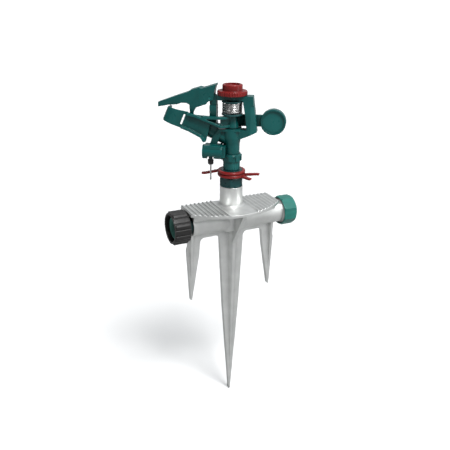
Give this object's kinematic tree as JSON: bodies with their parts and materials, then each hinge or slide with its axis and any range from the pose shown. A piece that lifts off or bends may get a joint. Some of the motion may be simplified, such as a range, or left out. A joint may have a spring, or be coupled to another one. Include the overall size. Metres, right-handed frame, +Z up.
{
  "type": "impact sprinkler",
  "caption": "Impact-drive sprinkler head on a cast step spike, with a hose inlet, a capped outlet, a swinging arm, a deflector flap and trip collars.",
  "frame": {"origin": "riser axis at the soil line, the underside of the web between the spikes", "axes": "+Z up along the riser, +X from the hose inlet to the capped outlet, -Y to the side the foot steps from"},
  "size_m": [0.139, 0.0774, 0.3496],
  "materials": {
    "cast_metal": "satin die casting",
    "teal_plastic": "moulded, soft gloss",
    "dark_teal_plastic": "moulded",
    "nipple_plastic": "moulded",
    "nut_plastic": "moulded, fine grain",
    "cap_plastic": "moulded, soft gloss",
    "washer_rubber": "soft",
    "black_rubber": "soft",
    "red_plastic": "moulded, soft gloss",
    "black_plastic": "moulded",
    "spring_steel": "drawn wire"
  },
  "bodies": {
    "stand": {"step_plate": "cast_metal", "water_tube": "cast_metal", "spike_web": "cast_metal", "inlet_spud": "dark_teal_plastic", "hose_washer": "washer_rubber", "bearing_nipple": "nipple_plastic", "nipple_seal": "black_rubber", "bearing_spring": "spring_steel"},
    "inlet_nut": {"swivel_nut": "nut_plastic"},
    "outlet_washer": {"cap_washer": "black_rubber"},
    "outlet_cap": {"end_cap": "cap_plastic"},
    "lower_collar": {"lower_trip_collar": "red_plastic"},
    "upper_collar": {"upper_trip_collar": "red_plastic"},
    "head": {"sprinkler_body": "teal_plastic", "spring_sleeve": "teal_plastic", "bearing_nut": "teal_plastic", "bearing_washers": "black_rubber", "nozzle": "black_plastic", "fulcrum_pin": "spring_steel", "arm_spring": "spring_steel", "flap_pin": "spring_steel", "trip_pin": "spring_steel", "trip_housing_cover": "teal_plastic", "toggle_spring": "spring_steel"},
    "arm": {"impact_arm": "teal_plastic", "upper_arm_bushing": "black_plastic", "lower_arm_bushing": "black_plastic", "counterweight_cover": "teal_plastic", "lower_spring_seat": "nipple_plastic"},
    "adjuster": {"adjuster_cap": "red_plastic", "upper_spring_seat": "nipple_plastic"},
    "flap": {"deflector_flap": "teal_plastic"},
    "trip": {"trip_lever": "nipple_plastic", "wire_ferrule": "black_plastic", "trip_wire": "spring_steel"}
  },
  "joints": [
    {"name": "inlet_nut_spin", "type": "hinge", "parent": "stand", "child": "inlet_nut", "pos_m": [-0.0575, 0, 0.0155], "axis": [1, 0, 0], "continuous": true},
    {"name": "cap_unscrew", "type": "slide", "parent": "stand", "child": "outlet_washer", "axis": [1, 0, 0], "range_m": [0, 0.0132]},
    {"name": "cap_turn", "type": "hinge", "parent": "outlet_washer", "child": "outlet_cap", "pos_m": [0.0625, 0, 0.0155], "axis": [1, 0, 0], "range_deg": [0, 2160]},
    {"name": "lower_collar_set", "type": "hinge", "parent": "stand", "child": "lower_collar", "pos_m": [0, 0, 0.064], "axis": [0, 0, 1], "range_deg": [0, 60]},
    {"name": "upper_collar_set", "type": "hinge", "parent": "stand", "child": "upper_collar", "pos_m": [0, 0, 0.067], "axis": [0, 0, 1], "range_deg": [-60, 0]},
    {"name": "head_turn", "type": "hinge", "parent": "stand", "child": "head", "pos_m": [0, 0, 0.09], "axis": [0, 0, 1], "range_deg": [-5, 88]},
    {"name": "arm_swing", "type": "hinge", "parent": "head", "child": "arm", "pos_m": [0, 0, 0.117], "axis": [0, 0, 1], "range_deg": [0, 100], "stiffness_Nm_per_rad": 0.004, "springref_deg": -34.38},
    {"name": "spring_adjust", "type": "hinge", "parent": "head", "child": "adjuster", "pos_m": [0, 0, 0.145], "axis": [0, 0, 1], "range_deg": [-90, 90]},
    {"name": "flap_lift", "type": "hinge", "parent": "head", "child": "flap", "pos_m": [-0.01741, 0.01174, 0.1395], "axis": [0.5592, 0.829, 0], "range_deg": [0, 8]},
    {"name": "trip_flip", "type": "hinge", "parent": "head", "child": "trip", "pos_m": [-0.021, 0.00391, 0.088], "axis": [-0.829, 0.5592, 0], "range_deg": [0, 14]}
  ],
  "couplings": [
    {"joint": "cap_turn", "follows": "cap_unscrew", "rad_per_m": 2844.4}
  ]
}
